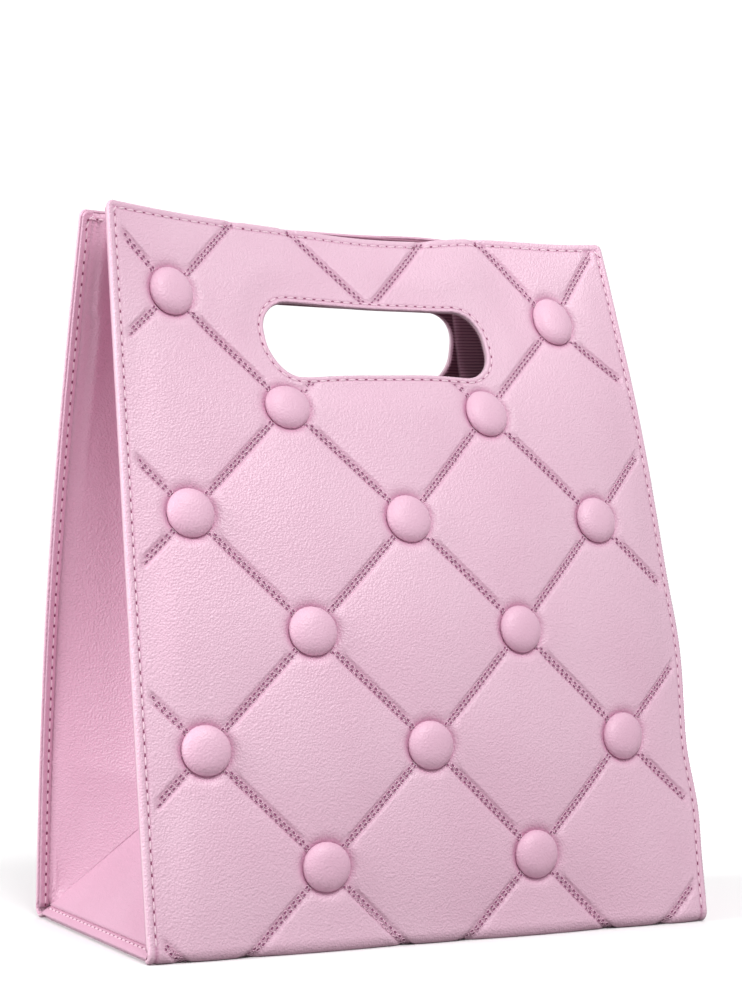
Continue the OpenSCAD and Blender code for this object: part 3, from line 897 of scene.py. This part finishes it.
gusset_points = {}
for hand in (-1, 1):
    seams = {side: seam_line(side, hand, 141) for side in ("front", "back")}
    tip = hand * TIP_X[hand]
    gaps = [place(side, tip if side == "front" else -tip, TALL - 9, -4.2)[1] * 1000
            for side in ("front", "back")]
    between = sum(gaps) / 2
    room = min(4.4, max(0.0, (gaps[1] - gaps[0]) / 2 - 2.5))
    valley = np.array([tip, between, TIP_Z])
    print("mouth at the gusset's tip:", np.round(gaps, 1))
    apex = np.array([hand * APEX_X, 0.0, APEX_Z])
    for side in ("front", "back"):
        away = -1 if side == "front" else 1
        C = seams[side]
        run = np.r_[0, np.cumsum(np.linalg.norm(np.diff(C, axis=0), axis=1))]
        keep = np.array([0, away * VALLEY_GAP, 0])
        end = []
        for v in run:
            if v < LEAF_W:
                end.append(C[0] + (apex + keep - C[0]) * v / LEAF_W)
            else:
                k = (v - LEAF_W) / (run[-1] - LEAF_W)
                end.append(apex + keep + (valley - apex) * k
                           - np.array([hand * 5.0 * math.sin(math.pi * k), 0, 0]))
        O = np.array(end)
        a = np.linspace(0, 1, 41)[None, :, None]
        P = C[:, None, :] * (1 - a) + O[:, None, :] * a
        k = (run / run[-1])[:, None, None]
        hollow = 3.2 * np.sin(math.pi * a) * np.sin(math.pi * np.clip(k * 1.05, 0, 1)) ** 0.8
        P = P + hollow * np.array([-hand * 0.35, away * 0.95, 0])
        # The half keeps clear of the bowed panel in front of it, more so towards the valley.
        local = P[..., 0] if side == "front" else -P[..., 0]
        height = np.clip(P[..., 2] / math.cos(LEAN), ROLL_S + 0.2, TALL - 1)
        wall = place(side, local.ravel(), height.ravel(), -4.9)[:, 1].reshape(local.shape) * 1000
        clear = -away * (P[..., 1] - wall) - 1.3 * step(a[..., 0], 0.0, 0.12) - room * a[..., 0]
        clear = np.where(np.abs(local) < 114.5, clear, 9.0)
        P[..., 1] += -away * 0.5 * (np.sqrt(clear ** 2 + 0.3) - clear)
        P = P[1:]
        outward = np.array([hand * 1.0, -away * 0.6, 0.0])
        gusset_points[hand, side] = P
        word = ("Left" if hand < 0 else "Right") + "_" + side
        parts[hand, side, "leaf"] = thick(word + "_gusset_leaf", P, outward, 0.0, LEAF, [GUSSET])
        # Above the apex the lining turns round the valley's edge; below it, it only runs on a little.
        below, last = run[1:] < LEAF_W, P[:, -1:]
        lip = last + np.array([-hand * 0.5, -away * 1.1, 0])
        lip[below] = last[below] + (last[below] - P[below, -2:-1]) * 0.2
        parts[hand, side, "leaf_lining"] = thick(word + "_gusset_lining",
                                                 np.concatenate([P, lip], 1), outward, -CLOTH,
                                                 0.0, [LINING])
    A, B = seams["front"][0], seams["back"][0]
    u = np.linspace(0.012, 0.985, 46)[:, None, None]
    v = np.linspace(-1, 1, 61)[None, :, None]
    base_mid, half = (A + B) / 2, (B - A) / 2
    P = base_mid + (apex - base_mid) * u + half * v * (1 - u) * 0.985
    P = P + 1.6 * np.sin(math.pi * u) * (1 - v ** 2) * np.array([hand * 0.8, 0, 0.6])
    outward = np.array([hand * 1.0, 0, 0.6])
    word = "Left" if hand < 0 else "Right"
    parts[hand, "foot"] = thick(word + "_gusset_foot", P, outward, 0.0, LEAF, [GUSSET])
    parts[hand, "foot_lining"] = thick(word + "_gusset_foot_lining", P, outward, -CLOTH, 0.0,
                                       [LINING])
    gusset_points[hand, "foot"] = P


# %% [markdown]
# Where a gusset meets a panel, its edge lies flat inside the panel and is sewn there; at the floor
# it lies on the base. These flat borders are what shows as a narrow rim round each side.

# %% Sewn borders and the base
def strip(name, side, hand, x0, x1, w0, w1, s0, s1, material, r=2.2):
    """A flat border inside a panel's side edge, rounded by r at its upper outer corner."""
    s = np.concatenate([np.linspace(s0, s1 - r, 120), s1 - r * (1 - np.sin(
        np.linspace(0.2, math.pi / 2, 7)))])[:, None]
    over = np.clip(s - (s1 - r), 0, r)
    far = x1 - r + np.sqrt(r ** 2 - over ** 2)
    x = (x0 + (far - x0) * np.linspace(0, 1, 7)[None, :]) * (hand if side == "front" else -hand)
    P = place(side, x + 0 * s, s + 0 * x, (w0 + w1) / 2) * 1000
    outward = np.array([0, 1.0 if side == "front" else -1.0, 0])
    return thick(name, P, outward, -(w1 - w0) / 2, (w1 - w0) / 2, [material])


def join(name, pieces):
    """Joins plain meshes into one object."""
    points, faces, first = [], [], 0
    for o in pieces:
        points.append(np.array([v.co for v in o.data.vertices]))
        faces += [tuple(i + first for i in p.vertices) for p in o.data.polygons]
        first += len(o.data.vertices)
    made = make_object(name, np.vstack(points), faces, [pieces[0].data.materials[0]])
    for o in pieces:
        bpy.data.objects.remove(o)
    return made


for side in ("front", "back"):
    title = side.capitalize()
    two = [strip("strip", side, hand, 115.1, 119.4, -4.8, -3.65, ROLL_S + 0.5, TALL - 0.7,
                 GUSSET) for hand in (-1, 1)]
    parts[side, "flanges"] = join(title + "_gusset_borders", two)

BASE_Y = 61.2                        # the base reaches the two bottom rolls


def slab(name, x0, x1, y0, y1, z0, z1, material, nx=60, ny=40):
    """A flat closed sheet between two corners."""
    x = np.linspace(x0, x1, nx)[:, None]
    y = np.linspace(y0, y1, ny)[None, :]
    P = np.stack([x + 0 * y, y + 0 * x, (z0 + z1) / 2 + 0 * x * y], -1)
    return thick(name, P, np.array([0, 0, 1.0]), -(z1 - z0) / 2, (z1 - z0) / 2, [material])


parts["base", "skin"] = slab("Base_skin_sheet", -117.4, 117.4, -BASE_Y, BASE_Y, 0.0, 2.0, PANEL)
parts["base", "board"] = slab("Base_stiffening_board", -116.5, 116.5, -59.5, 59.5, 2.0, 3.2,
                              BOARD)
parts["base", "lining"] = slab("Base_ribbed_lining", -115.0, 115.0, -60.5, 60.5, 3.2, 3.6,
                               LINING)


def foot_border(hand):
    """The gusset's lower edge: it leaves the foot crease and turns down over the base's side."""
    profile = np.array([(114.3, 4.95), (115.6, 4.5), (117.0, 3.8), (118.2, 3.0), (118.9, 2.3),
                        (119.2, 1.7)])
    y = np.linspace(-61.2, 61.2, 90)
    P = np.stack([hand * profile[:, 0][:, None] + 0 * y[None, :], 0 * profile[:, :1] + y[None, :],
                  profile[:, 1][:, None] + 0 * y[None, :]], -1)
    return thick("strip", P, np.array([hand, 0, 0.8]), -0.3, 0.12, [GUSSET])


parts["base", "flanges"] = join("Base_gusset_borders", [foot_border(h) for h in (-1, 1)])

# %% [markdown]
# The gusset's top edge is stitched like the panels, and its lower edge is sewn to the base. These
# rows are laid by the same trees, on paths taken from the gusset's own points.

# %% Stitching on the gussets
def leaf_row(P, outward, back=1.15):
    """A path on a gusset half, just below its top edge."""
    line = P[-1] + (P[-2] - P[-1]) * back
    out = np.cross(np.gradient(line, axis=0), P[-1] - P[-2])
    out /= np.linalg.norm(out, axis=1)[:, None]
    if out.mean(axis=0) @ np.asarray(outward) < 0:
        out = -out
    return line, out


for hand in (-1, 1):
    for side in ("front", "back"):
        away = -1 if side == "front" else 1
        line, out = leaf_row(gusset_points[hand, side], (hand, -away * 0.6, 0))
        word = ("Left" if hand < 0 else "Right") + "_" + side
        parts[hand, side, "top_thread"] = lay_row(
            word + "_gusset_top_stitches", STITCHES,
            [((line + out * (LEAF + 0.05)) * 0.001, out)], **DASH)
        parts[hand, side, "top_holes"] = lay_row(
            word + "_gusset_top_holes", HOLES, [((line + out * (LEAF + 0.02)) * 0.001, out)], **GAP)
ROW_END = 57                         # the base's rows stop short of the corners
y = np.linspace(-ROW_END, ROW_END, 80)
base_rows, base_pits = [], []
for hand in (-1, 1):
    up = np.tile([hand * 0.62, 0, 0.78], (y.size, 1))
    line = np.stack([np.full(y.size, hand * 116.6), y, np.full(y.size, 3.95)], -1)
    base_rows.append(((line + up * 0.17) * 0.001, up))
    base_pits.append(((line + up * 0.16) * 0.001, up))
parts["base", "thread"] = lay_row("Base_gusset_stitches", STITCHES, base_rows, **DASH)
parts["base", "holes"] = lay_row("Base_gusset_needle_holes", HOLES, base_pits, **GAP)

# %% [markdown]
# Which body each piece rides and which CAD node it stands for. A gusset half is one sheet in
# place of two CAD facets, the low one and the top one, which meet at the slanting fold; the half,
# its lining and its stitching stay where they are drawn and ride no body, and both facets are hidden.

# %% Bodies and replacements
PANEL_SLOTS = {"skin": "panel_skin", "rings": "panel_skin", "eyes": "panel_skin",
               "edge_holes": "panel_skin", "slot_holes": "panel_skin", "board": "board",
               "lining": "lining", "buttons": "button_skin", "flanges": "gusset_skin",
               "edge_thread": "thread", "slot_thread": "thread"}
NODE_ENDINGS = {"skin": "skin", "board": "board", "lining": "lining", "buttons": "buttons",
                "flanges": "gusset_flanges", "edge_thread": "edge_thread",
                "slot_thread": "slot_thread"}
for side in ("front", "back"):
    for key, slot in PANEL_SLOTS.items():
        piece = parts[side, key]
        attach(piece, side)
        if key in NODE_ENDINGS:
            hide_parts(f"{side}_{NODE_ENDINGS[key]}")

for key, slot in (("skin", "panel_skin"), ("board", "board"), ("lining", "lining"),
                  ("flanges", "gusset_skin")):
    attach(parts["base", key], "base")
    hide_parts("base_gusset_flanges" if key == "flanges" else "base_" + key)

for key, slot in (("thread", "thread"), ("holes", "gusset_skin")):
    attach(parts["base", key], "base")

APEX_ROW, HIGH_ROW = 32, 100         # rows of a gusset half's points: just over the apex, and high up
BLEND = 5                            # mm on each side of the slanting fold
for hand, word in ((-1, "left"), (1, "right")):
    for side in ("front", "back"):
        low, top = f"{word}_{side}_low", f"{word}_{side}_top"
        P = gusset_points[hand, side]
        near = P[-1, 0]
        line = near - P[APEX_ROW, -1]
        line /= np.linalg.norm(line)
        across = P[HIGH_ROW, -1] - P[HIGH_ROW, 0]
        across = across - line * (across @ line)
        across /= np.linalg.norm(across)
        mid = (near + P[APEX_ROW, -1]) / 2
        start, end = (mid - across * BLEND) * 0.001, (mid + across * BLEND) * 0.001
        for key, nodes, slot in (("leaf", (low, top), "gusset_skin"),
                                 ("leaf_lining", (low + "_lining", top + "_lining"), "lining")):
            piece = parts[hand, side, key]
            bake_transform(piece)
            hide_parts(*nodes)
        for key, slot in (("top_thread", "thread"), ("top_holes", "gusset_skin")):
            piece = parts[hand, side, key]
            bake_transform(piece)
    for key, node, slot in (("foot", f"{word}_foot", "gusset_skin"),
                            ("foot_lining", f"{word}_foot_lining", "lining")):
        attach(parts[hand, key], f"{word}_foot")
        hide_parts(node)

# %% [markdown]
# The floor is a matt white table. For the camera it grows brighter with distance, so that it meets
# the white surroundings without a line; for every other ray it is a mid grey, which keeps the
# light that comes back up from it soft.

# %% Floor
FLOOR_HALF = 6.0
mesh = bpy.data.meshes.new("Floor")
corners = [(x * FLOOR_HALF, y * FLOOR_HALF, 0) for x, y in ((-1, -1), (1, -1), (1, 1), (-1, 1))]
mesh.from_pydata(corners, [], [(0, 1, 2, 3)])
floor = bpy.data.objects.new("Floor", mesh)
bpy.context.scene.collection.objects.link(floor)
white, tree, shader = new_material("Matt white table", "#FFFFFF", Roughness=0.9)
dim = put(tree, "ShaderNodeBsdfDiffuse", {"Color": linear("#A39E9F")})
ray = put(tree, "ShaderNodeLightPath")
where = put(tree, "ShaderNodeTexCoord")
far = put(tree, "ShaderNodeVectorMath", {"operation": "LENGTH"}, in0=(where, "Object"))
glow = put(tree, "ShaderNodeMapRange", {"From Min": 0.25, "From Max": 1.6, "To Min": 0.0,
           "To Max": 0.75}, in0=(far, "Value"))
tree.links.new(glow.outputs[0], shader.inputs["Emission Strength"])
shader.inputs["Emission Color"].default_value = (1, 1, 1, 1)
mixed = put(tree, "ShaderNodeMixShader", in0=(ray, "Is Camera Ray"), in1=(dim, 0), in2=(shader, 0))
tree.links.new(mixed.outputs[0], tree.nodes["Material Output"].inputs[0])
floor.data.materials.append(white)
